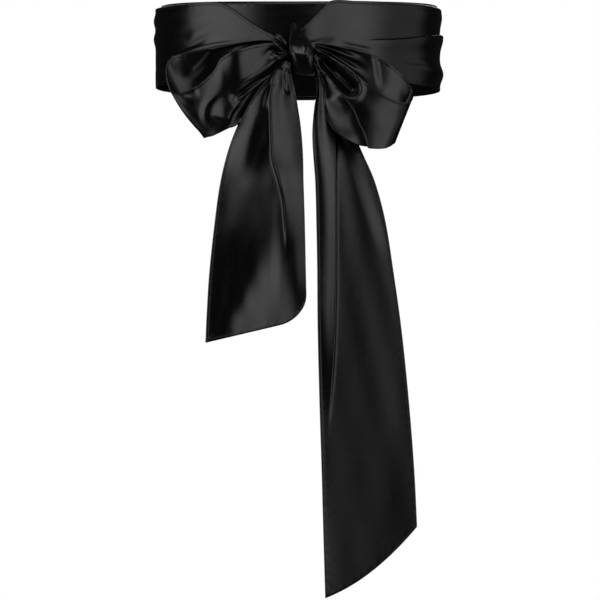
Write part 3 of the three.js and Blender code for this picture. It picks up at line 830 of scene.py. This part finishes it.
class Graph:
    """A short way to write a node tree."""

    def __init__(self, tree: bpy.types.NodeTree) -> None:
        """Starts on a tree."""
        self.tree = tree

    def add(
        self, kind: str, inputs: dict[str | int, object] | None = None, **settings: object
    ) -> bpy.types.Node:
        """Adds a node.

        Args:
            kind: the node's type name without ShaderNode.
            inputs: values or sockets for its inputs, by name or number.
            settings: the node's own properties.

        Returns:
            The node.
        """
        node = self.tree.nodes.new("ShaderNode" + kind)
        for key, value in settings.items():
            setattr(node, key, value)
        for key, value in (inputs or {}).items():
            if isinstance(value, bpy.types.NodeSocket):
                self.tree.links.new(value, node.inputs[key])
            else:
                node.inputs[key].default_value = value
        return node

    def math(self, operation: str, *values: object) -> bpy.types.NodeSocket:
        """One Math node's result."""
        return self.add("Math", dict(enumerate(values)), operation=operation).outputs[0]

    def smooth_step(self, value: object, low: float, high: float) -> bpy.types.NodeSocket:
        """Goes smoothly from 0 at low to 1 at high."""
        inputs = {"Value": value, "From Min": low, "From Max": high}
        return self.add("MapRange", inputs, interpolation_type="SMOOTHSTEP").outputs["Result"]

    def from_middle(self, value: object) -> bpy.types.NodeSocket:
        """How far a value from 0 to 1 is from 0.5."""
        return self.math("ABSOLUTE", self.math("SUBTRACT", value, 0.5))

    def noise(
        self, at: bpy.types.NodeSocket, scale: tuple[float, float, float], detail: float
    ) -> bpy.types.NodeSocket:
        """Noise from 0 to 1, finer as scale grows along each axis."""
        stretched = self.add("Mapping", {"Vector": at, "Scale": scale}).outputs[0]
        return self.add("TexNoise", {"Vector": stretched, "Scale": 1.0, "Detail": detail}).outputs["Fac"]


def new_group(
    name: str, given: str, made: tuple[str, ...]
) -> tuple[Graph, bpy.types.NodeSocket, bpy.types.NodeInputs]:
    """A shader node group with one vector input and some value outputs.

    Args:
        name: the group's name.
        given: the input's name.
        made: the outputs' names.

    Returns:
        The group's graph, its input, and the sockets that take its outputs.
    """
    group = bpy.data.node_groups.new(name, "ShaderNodeTree")
    group.interface.new_socket(name=given, in_out="INPUT", socket_type="NodeSocketVector")
    for key in made:
        group.interface.new_socket(name=key, in_out="OUTPUT", socket_type="NodeSocketFloat")
    source = group.nodes.new("NodeGroupInput")
    sink = group.nodes.new("NodeGroupOutput")
    return Graph(group), source.outputs[given], sink.inputs


@dataclass(frozen=True)
class WeaveGroup:
    """Satin weave: long floats side by side, with slubs and broken floats. Lengths are in metres."""

    thread: float = 0.00032
    float_length: float = 0.0026
    float_offset: float = 0.375
    tie_from: float = 0.42
    tie_depth: float = 0.6
    slub_scale: tuple[float, float, float] = (60.0, 1400.0, 1.0)
    slub_height: float = 0.2
    slow_scale: tuple[float, float, float] = (35.0, 160.0, 1.0)

    def build(self) -> bpy.types.NodeTree:
        """Makes the group: Height of the threads and Slub, a slow unevenness, both from 0 to 1.

        Returns:
            The node group.
        """
        graph, cloth, made = new_group("satin weave", "Cloth", ("Height", "Slub"))
        place = graph.add("SeparateXYZ", {0: cloth}).outputs
        wave = graph.math("SINE", graph.math("MULTIPLY", place["Y"], 2 * math.pi / self.thread))
        ridge = graph.math("MULTIPLY_ADD", wave, 0.5, 0.5)
        thread = graph.math("FLOOR", graph.math("DIVIDE", place["Y"], self.thread))
        offset = graph.math("MULTIPLY", thread, self.float_offset)
        floats = graph.math("DIVIDE", place["X"], self.float_length)
        tie = graph.from_middle(graph.math("FRACT", graph.math("ADD", floats, offset)))
        dip = graph.math("MULTIPLY_ADD", graph.smooth_step(tie, self.tie_from, 0.5), -self.tie_depth, 1.0)
        woven = graph.math("MULTIPLY", ridge, dip)
        slub = graph.noise(cloth, self.slub_scale, 2.0)
        height = graph.math("MULTIPLY_ADD", slub, self.slub_height, woven)
        graph.tree.links.new(height, made["Height"])
        graph.tree.links.new(graph.noise(cloth, self.slow_scale, 3.0), made["Slub"])
        return graph.tree


@dataclass(frozen=True)
class HemGroup:
    """A narrow hem: the turned edge's step, its row of stitches and the slight pucker that they pull.

    All are in metres, except dash, which gives shares of a stitch, and the drift of the pucker.
    """

    inset: float = 0.0024
    turn_outside: float = 0.0005
    turn_inside: float = 0.0002
    line: tuple[float, float] = (0.00035, 0.0001)
    pitch: float = 0.0026
    dash: tuple[float, float] = (0.42, 0.3)
    pucker: float = 0.0085
    pucker_reach: float = 0.009
    drift_scale: float = 70.0
    drift: float = 9.0
    step: float = 0.00012
    sunk: float = 0.00008
    stitch: float = 0.00016
    pull: float = 0.00005

    def build(self) -> bpy.types.NodeTree:
        """Makes the group, whose Height is in metres.

        Returns:
            The node group.
        """
        graph, hem, made = new_group("hem stitching", "Hem", ("Height",))
        place = graph.add("SeparateXYZ", {0: hem}).outputs
        edge, run = place["X"], place["Y"]
        turned = graph.smooth_step(edge, self.inset + self.turn_outside, self.inset - self.turn_inside)
        away = graph.math("ABSOLUTE", graph.math("SUBTRACT", edge, self.inset))
        line = graph.smooth_step(away, *self.line)
        dash = graph.from_middle(graph.math("FRACT", graph.math("DIVIDE", run, self.pitch)))
        stitch = graph.math("MULTIPLY", line, graph.smooth_step(dash, *self.dash))
        near = graph.smooth_step(edge, self.pucker_reach, 0.0)
        drift = graph.add("TexNoise", {"Vector": hem, "Scale": self.drift_scale, "Detail": 1.0})
        even = graph.math("MULTIPLY", run, 2 * math.pi / self.pucker)
        pull = graph.math("SINE", graph.math("MULTIPLY_ADD", drift.outputs["Fac"], self.drift, even))
        pull = graph.math("MULTIPLY", pull, near)
        height = graph.math("MULTIPLY", turned, self.step)
        for part, rise in ((line, -self.sunk), (stitch, self.stitch), (pull, self.pull)):
            height = graph.math("MULTIPLY_ADD", part, rise, height)
        graph.tree.links.new(height, made["Height"])
        return graph.tree


@dataclass(frozen=True)
class Satin:
    """Black satin: near-black dye, a soft broad shine and a fine weave."""

    name: str
    base: tuple[float, float, float] = (0.0009, 0.0009, 0.0011)
    pale: tuple[float, float, float] = (0.0018, 0.0018, 0.0021)
    slubs: tuple[float, float] = (0.3, 0.7)
    shine: tuple[float, float] = (0.22, 0.28)
    weave_depth: float = 0.00003
    weave_strength: float = 0.35
    specular: float = 0.5

    def build(self, weave: bpy.types.NodeTree, hem: bpy.types.NodeTree) -> bpy.types.Material:
        """Makes the material.

        Args:
            weave: the satin weave group.
            hem: the hem stitching group.

        Returns:
            The material.
        """
        material = bpy.data.materials.new(self.name)
        material.use_nodes = True
        graph = Graph(material.node_tree)
        shader = material.node_tree.nodes["Principled BSDF"].inputs
        cloth = graph.add("UVMap", uv_map="Cloth").outputs["UV"]
        edge = graph.add("UVMap", uv_map="Hem").outputs["UV"]
        woven = graph.add("Group", {"Cloth": cloth}, node_tree=weave).outputs
        hemmed = graph.add("Group", {"Hem": edge}, node_tree=hem).outputs["Height"]
        tone = graph.add("MixRGB", {"Fac": woven["Slub"], 1: (*self.base, 1.0), 2: (*self.pale, 1.0)})
        slubs = {"Value": woven["Slub"], "From Min": self.slubs[0], "From Max": self.slubs[1]}
        rough = graph.add("MapRange", slubs | {"To Min": self.shine[0], "To Max": self.shine[1]})
        depth = {"Strength": self.weave_strength, "Distance": self.weave_depth}
        fine = graph.add("Bump", depth | {"Height": woven["Height"]}).outputs["Normal"]
        sewn = graph.add("Bump", {"Strength": 1.0, "Distance": 1.0, "Height": hemmed, "Normal": fine})
        graph.tree.links.new(tone.outputs[0], shader["Base Color"])
        graph.tree.links.new(rough.outputs["Result"], shader["Roughness"])
        graph.tree.links.new(sewn.outputs["Normal"], shader["Normal"])
        shader["Specular IOR Level"].default_value = self.specular
        material.diffuse_color = (*self.base, 1.0)
        return material


@dataclass
class Piece:
    """One stretch of the sash. It stands for the CAD node of its name, which it hides."""

    node: str

    def shape(self) -> bpy.types.Object:
        """Makes the piece's object."""
        raise NotImplementedError

    def lay(self, cloth: bpy.types.Object) -> None:
        """Takes no step; it only tells in words how the piece lies."""

    def build(self, satin: bpy.types.Material) -> None:
        """Makes the piece, dresses it and rides it on the part's one body.

        Args:
            satin: its finish.
        """
        cloth = self.shape()
        cloth.data.materials.append(satin)
        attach(cloth, "root")
        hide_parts(self.node)
        self.lay(cloth)
        LOG.info("%s: %d faces", cloth.name, len(cloth.data.polygons))


@dataclass
class FirstTurn(Piece):
    """The first time round the waist, a whole ring, which flares a little low down at its left side."""

    node: str = "first_turn"
    middle_out: float = 1.0
    front_top: float = 31.4
    side_rise: float = 7.8
    side_angle: float = 100.0
    middle_bottom: float = -36.4
    bottom_tilt: float = 0.8
    flare: float = 5.2
    flare_round: tuple[float, float] = (0.82, 0.98)
    flare_down: tuple[float, float] = (0.55, 0.85)
    steps: int = 260
    columns: int = 28

    def shape(self) -> bpy.types.Object:
        """Rings on the waist's oval, moved out by the sum of height * sin(times * turn + slant * down).

        Returns:
            The object.
        """
        angle = np.linspace(-180, 180, self.steps + 1)[:, None]
        down = np.linspace(0, 1, self.columns + 1)[None]
        turn = np.radians(angle)
        top = self.front_top + self.side_rise * ease(np.abs(angle) / self.side_angle)
        bottom = self.middle_bottom - self.bottom_tilt * np.sin(turn)
        out = self.middle_out + sum(
            wave.height * np.sin(wave.times * turn + wave.slant * down) for wave in FIRST_TURN_WAVES
        )
        (left_from, left_to), (down_from, down_to) = self.flare_round, self.flare_down
        at_left = ease((-np.sin(turn) - left_from) / (left_to - left_from))
        out = out + self.flare * at_left * ease((down - down_from) / (down_to - down_from))
        points = around(angle, out, top + (bottom - top) * down)
        points[-1] = points[0]
        return ClothGrid(points, closed=True).build(self.node + "_cloth")

    def lay(self, cloth: bpy.types.Object) -> None:
        """Once round the waist, with its ends under the knot."""


@dataclass
class OuterTurn(Piece):
    """One stretch of the outer turn, from the knot to the crossing behind."""

    rows: tuple[Reach, ...]
    folds: tuple[Fold, ...]
    side: int
    seed: int
    flat: tuple[float, float]
    lean: float = 11.0
    lean_from: float = 0.7
    deepest: float = -1.4
    limp: Limp = Limp(0.07, 120, 40)
    steps: int = 230
    columns: int = 84

    def shape(self) -> bpy.types.Object:
        """A band between two edge lines round the waist's oval, moved out by its folds.

        Its far end leans, as it crosses the other turn behind.

        Returns:
            The object.
        """
        table = np.array(self.rows, float)
        share = np.linspace(0, 1, self.steps + 1)[:, None]
        down = np.linspace(0, 1, self.columns + 1)[None]
        angle = table[0, 0] + (table[-1, 0] - table[0, 0]) * share
        angle = angle + self.lean * (0.5 - down) * ease((share - self.lean_from) / (1 - self.lean_from))
        top, bottom, out = np.moveaxis(through(table, angle), -1, 0)
        z = top * (1 - down) + bottom * down
        scale = math.radians((WAIST_HALF_WIDTH + WAIST_HALF_DEPTH) / 2)
        shift = fold_shift(self.folds, angle, z, scale)
        out = out + np.maximum(shift[..., 2], self.deepest) + ripples(angle * scale, z, self.seed, self.limp)
        points = around(self.side * (angle + shift[..., 0] / scale), out, z + shift[..., 1])
        return ClothGrid(points if self.side > 0 else points[::-1]).build(self.node + "_cloth")

    def lay(self, cloth: bpy.types.Object) -> None:
        """It is wound over the first turn."""


@dataclass
class Strip:
    """A strip between two edge lines in space, such as a loop or a tail.

    under is the share of its width that is turned under along the second edge, and pleat_share the depth of
    the pleats at its start as a share of the width there.
    """

    rows: tuple[Section, ...]
    steps: int
    columns: int
    face: int = 1
    phase: float = 0.6
    waves: int = 2
    probe: float = 0.01
    under: float = 0.0
    under_gap: float = 3.0
    under_reach: float = 0.3
    under_bend: float = 0.3
    pleats: int = 6
    pleat_share: float = 0.0
    pleat_most: float = 3.0
    pleat_full: float = 0.02
    pleat_end: float = 0.22

    def laid(self, across: np.ndarray) -> tuple[np.ndarray, np.ndarray]:
        """Where each place across the cloth lies between the two edges.

        Args:
            across: places across the cloth, from 0 to 1.

        Returns:
            The places between the edges, and how far inside the strip they lie, in mm.
        """
        if not self.under:
            return across, np.zeros_like(across)
        past = np.clip((across - 1 + self.under) / self.under, 0, 1)
        place = np.where(past > 0, 1 - self.under_reach * past, across / (1 - self.under))
        return place, self.under_gap * ease(past / self.under_bend)

    def grid(self, keep: np.ndarray | float = 1.0) -> tuple[np.ndarray, np.ndarray]:
        """Points between the two edges, moved along the strip's normal by its belly, gathers and pleats.

        Args:
            keep: the share of the strip's length that is kept, for each column.

        Returns:
            The points in mm, and each point's place along the strip.
        """
        table = np.array(self.rows, float)
        across = np.linspace(0, 1, self.columns + 1)[None]
        along = np.linspace(0, 1, self.steps + 1)[:, None] * keep * np.ones_like(across)
        values = through(table, along)
        ahead = through(table, along + self.probe)[..., :3] - through(table, along - self.probe)[..., :3]
        first, second, belly, gather = values[..., :3], values[..., 3:6], values[..., 6], values[..., 7]
        outwards = unit(np.cross(ahead, second - first))
        place, inside = self.laid(across)
        wave = np.sin(self.waves * 2 * math.pi * place + self.phase)
        rise = belly * 4 * place * (1 - place) + gather * wave - inside
        deep = np.minimum(self.pleat_share * np.linalg.norm(second - first, axis=-1), self.pleat_most)
        deep = deep * ease((self.pleat_end - along) / (self.pleat_end - self.pleat_full))
        rise = rise + deep * np.sin(self.pleats * 2 * math.pi * place)
        points = first + (second - first) * place[..., None] + outwards * (self.face * rise)[..., None]
        return points, along


@dataclass
class Loop(Piece):
    """One loop of the bow: a strip from the knot out, round its end and back to the knot."""

    rows: tuple[Section, ...]
    folds: tuple[Fold, ...]
    side: int
    seed: int
    flat: tuple[float, float]
    under: float = 0.2
    pleat_share: float = 0.1
    front_from: float = 0.5
    back_to: float = 0.46
    layer_fade: float = 0.08
    neck: float = 0.2
    middle_length: float = 220.0
    limp: Limp = Limp(0.12, 80, 40)
    steps: int = 220
    columns: int = 180

    def shape(self) -> bpy.types.Object:
        """The strip's points, each layer brought forward by its own folds.

        Returns:
            The object.
        """
        strip = Strip(
            self.rows, self.steps, self.columns, self.side, under=self.under, pleat_share=self.pleat_share
        )
        points, along = strip.grid()
        front = ease((along - self.front_from) / self.layer_fade)
        back = ease((self.back_to - along) / self.layer_fade)
        for share, layer in ((front, Layer.FRONT), (back, Layer.BACK)):
            chosen = tuple(fold for fold in self.folds if fold.layer is layer)
            points += forwards(fold_shift(chosen, points[..., 0], points[..., 2]) * share[..., None])
        loose = np.minimum(ease(along / self.neck), ease((1 - along) / self.neck))
        across = np.linspace(0, CLOTH_WIDTH, self.columns + 1)[None]
        points[..., 1] -= loose * ripples(along * self.middle_length, across, self.seed, self.limp)
        return ClothGrid(points if self.side < 0 else points[::-1]).build(self.node + "_cloth")

    def lay(self, cloth: bpy.types.Object) -> None:
        """It stands out of the knot, and nothing is under it."""


@dataclass
class Tail(Piece):
    """One hanging tail with its slanting cut."""

    rows: tuple[Section, ...]
    folds: tuple[Fold, ...]
    drape: tuple[Drape, ...]
    cut: Cut
    seed: int
    flat: tuple[float, float]
    area: float
    phase: float = 0.3
    neck: float = 0.15
    limp: Limp = Limp(0.14, 220, 60)
    steps: int = 240
    columns: int = 150

    def kept(self) -> np.ndarray:
        """Works out where the cut runs: a slanting line, bowed, with a rounded corner.

        Returns:
            The share of the tail's length that each column keeps.
        """
        across = np.linspace(0, 1, self.columns + 1)
        corner = np.zeros_like(across)
        if self.cut.corner:
            corner = np.clip((across - 1 + self.cut.corner) / self.cut.corner, 0, 1)
        rise = self.cut.rise * across - self.cut.bulge * 4 * across * (1 - across)
        rise = rise + self.cut.corner_rise * (1 - np.sqrt(1 - corner * corner))
        return 1 - rise / (self.rows[0].az - self.rows[-1].az)

    def hang(self, z: np.ndarray) -> np.ndarray:
        """How far forward the cloth hangs: a smooth curve through the drape's rows and through its steps.

        Args:
            z: the heights of the tail's points, in mm.

        Returns:
            One distance in mm for each point.
        """
        if not self.drape:
            return np.zeros_like(z)
        table = np.array(self.drape, float)
        steps = table.shape[1] - 1
        knots = np.column_stack([np.linspace(0, 1, steps), np.eye(steps)])
        shares = through(knots, np.linspace(0, 1, z.shape[1]))
        return np.einsum("ijk,jk->ij", through(table, z), shares)

    def shape(self) -> bpy.types.Object:
        """The strip's points down to the cut, brought forward by the drape and the folds.

        Returns:
            The object.
        """
        strip = Strip(self.rows, self.steps, self.columns, face=-1, phase=self.phase)
        points, along = strip.grid(self.kept()[None])
        points[..., 1] -= self.hang(points[..., 2])
        points += forwards(fold_shift(self.folds, points[..., 0], points[..., 2]))
        across = np.linspace(0, CLOTH_WIDTH, self.columns + 1)[None]
        points[..., 1] -= ease(along / self.neck) * ripples(points[..., 2], across, self.seed, self.limp)
        return ClothGrid(points, hem_end=True).build(self.node + "_cloth")

    def lay(self, cloth: bpy.types.Object) -> None:
        """It hangs from the knot."""


@dataclass
class Knot(Piece):
    """The knot: the cloth wrapped tightly round the necks of the bow, with a small curl at its foot."""

    node: str = "knot"
    rings: int = 150
    steps: int = 220
    slope: float = 0.13
    foot_point: float = 1.2
    head_point: float = 0.8
    front_from: float = -0.35
    front_to: float = 0.35
    peak: tuple[float, float] = (-4.0, 13.0)
    gather: float = 0.13
    gather_angle: float = 9.0
    gather_sway: float = 1.3
    sway_angle: float = 11.0
    gather_down: float = 14.0
    gather_end: tuple[float, float] = (-21.0, -13.0)

    def gathers(self, x: np.ndarray, z: np.ndarray) -> np.ndarray:
        """Small pleats that fan out below the peak: waves of the angle round it, down to the front band.

        Args:
            x: places across the knot, in mm.
            z: heights in mm.

        Returns:
            How far forward the pleats stand, in mm.
        """
        down = self.peak[1] - z
        angle = np.degrees(np.arctan2(x - self.peak[0], down))
        sway = self.gather_sway * np.sin(angle / self.sway_angle)
        wave = np.sin(2 * math.pi * angle / self.gather_angle + sway)
        low, high = self.gather_end
        return self.gather * wave * ease(down / self.gather_down) * ease((z - low) / (high - low))

    def shape(self) -> bpy.types.Object:
        """Rings from the foot up to the pointed top, sloping to one side, with gathers on the front.

        A ring is |x / across|^square + |y / deep|^square = 1: an oval above, squarer below.

        Returns:
            The object.
        """
        table = np.array(KNOT, float)[::-1]
        z = np.linspace(table[0, 0], table[-1, 0], self.rings)[:, None]
        x, y, across, deep, square = np.moveaxis(through(table, z), -1, 0)
        turn = np.linspace(0, 2 * math.pi, self.steps, endpoint=False)[None]
        side, ahead = np.cos(turn), np.sin(turn)
        reach = (np.abs(side) ** square + np.abs(ahead) ** square) ** (-1 / square)
        px = x + across * reach * side
        py = y + deep * reach * ahead
        front = ease((-ahead - self.front_from) / (self.front_to - self.front_from))
        py = py - front * (fold_shift(KNOT_FOLDS, px, z + 0 * px)[..., 2] + self.gathers(px, z))
        points = np.stack([px, py, z - self.slope * (px - x)], -1)
        foot = table[0, [1, 2, 0]] - (0, 0, self.foot_point)
        head = table[-1, [1, 2, 0]] + (0, 0, self.head_point)
        return make_lumps(self.node + "_cloth", [Lump(points, foot, head), roll(CURL)])


@dataclass
class KnotEar(Piece):
    """The small rolled folds that stand out of the knot's upper left."""

    node: str = "knot_ear"
    rolls: tuple[tuple[RollPoint, ...], ...] = EAR_ROLLS

    def shape(self) -> bpy.types.Object:
        """One rolled fold after another, in one mesh."""
        return make_lumps(self.node + "_cloth", [roll(points) for points in self.rolls])


@dataclass
class Studio:
    """A pale floor, a white surround, soft lights and the camera."""

    dim: float = 0.019
    floor_tone: float = 0.12
    floor_roughness: float = 0.8
    floor_glow: float = 0.75
    light_spread: float = 110.0
    aim: tuple[float, float, float] = (0.0, -0.05, -0.15)

    def light(self, box: Softbox) -> None:
        """Adds a soft light that looks at the middle of the sash.

        Args:
            box: the light.
        """
        light = bpy.data.lights.new(box.name, "AREA")
        light.shape = "RECTANGLE"
        light.size, light.size_y = box.width, box.height
        light.energy = box.power
        light.spread = math.radians(self.light_spread)
        lamp = bpy.data.objects.new(box.name, light)
        lamp.location = (box.x, box.y, box.z)
        lamp.rotation_euler = (Vector(self.aim) - lamp.location).to_track_quat("-Z", "Y").to_euler()
        lamp.visible_camera = False
        bpy.context.scene.collection.objects.link(lamp)

    def floor(self) -> None:
        """A wide round floor well below the sash, paler to the camera than in the cloth's shine."""
        turn = np.linspace(0, 2 * math.pi, FLOOR_STEPS, endpoint=False)
        level = np.full(FLOOR_STEPS, FLOOR_Z)
        rim = np.stack([FLOOR_RADIUS * np.cos(turn), FLOOR_RADIUS * np.sin(turn), level], -1)
        piece = make_mesh("floor", rim, [np.arange(FLOOR_STEPS)[None]], {})
        material = bpy.data.materials.new("pale floor")
        material.use_nodes = True
        shader = material.node_tree.nodes["Principled BSDF"].inputs
        shader["Base Color"].default_value = (self.floor_tone, self.floor_tone, self.floor_tone, 1)
        shader["Roughness"].default_value = self.floor_roughness
        shader["Emission Color"].default_value = (1, 1, 1, 1)
        graph = Graph(material.node_tree)
        seen = graph.add("LightPath").outputs["Is Camera Ray"]
        graph.tree.links.new(graph.math("MULTIPLY", seen, self.floor_glow), shader["Emission Strength"])
        piece.data.materials.append(material)

    def surround(self) -> None:
        """White where the camera looks past the sash, and dim grey for everything else."""
        world = bpy.data.worlds.new("surround")
        bpy.context.scene.world = world
        world.use_nodes = True
        graph = Graph(world.node_tree)
        shader = world.node_tree.nodes["Background"].inputs
        seen = graph.add("LightPath").outputs["Is Camera Ray"]
        graph.tree.links.new(graph.math("MULTIPLY_ADD", seen, 1.0 - self.dim, self.dim), shader["Strength"])
        shader["Color"].default_value = (1, 1, 1, 1)

    def camera(self) -> None:
        """The camera, level and straight in front."""
        camera = bpy.data.cameras.new("camera")
        camera.lens = CAMERA_LENS
        camera.sensor_width = SENSOR_WIDTH
        camera.clip_end = CAMERA_REACH
        holder = bpy.data.objects.new("camera", camera)
        holder.location = CAMERA_AT
        holder.rotation_euler = (math.radians(90), 0, 0)
        bpy.context.scene.collection.objects.link(holder)
        bpy.context.scene.camera = holder

    def build(self) -> None:
        """Sets up the floor, surround, lights and camera."""
        self.floor()
        self.surround()
        for box in SOFTBOXES:
            self.light(box)
        self.camera()
        bpy.context.scene.view_settings.view_transform = "Standard"


def main() -> None:
    """Builds the sash and its surroundings."""
    logging.basicConfig(level=logging.INFO, format="%(name)s: %(message)s")
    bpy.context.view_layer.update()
    satin = Satin("black satin").build(WeaveGroup().build(), HemGroup().build())
    pieces: list[Piece] = [
        FirstTurn(),
        OuterTurn("right_turn", RIGHT_TURN, RIGHT_TURN_FOLDS, 1, 3, (0.09, 0.39)),
        OuterTurn("left_turn", LEFT_TURN, LEFT_TURN_FOLDS, -1, 4, (0.09, 0.37)),
        Loop("right_loop", RIGHT_LOOP, RIGHT_LOOP_FOLDS, 1, 5, (0.09, 0.22)),
        Loop("left_loop", LEFT_LOOP, LEFT_LOOP_FOLDS, -1, 6, (0.09, 0.22)),
        Knot(),
        KnotEar(),
        Tail("right_tail", RIGHT_TAIL, RIGHT_TAIL_FOLDS, (), RIGHT_TAIL_CUT, 7, (0.09, 0.47), 0.0396),
        Tail(
            "left_tail", LEFT_TAIL, LEFT_TAIL_FOLDS, LEFT_TAIL_DRAPE, LEFT_TAIL_CUT, 8, (0.09, 0.25), 0.0216
        ),
    ]
    for piece in pieces:
        piece.build(satin)
    Studio().build()


if __name__ == "__main__":
    main()
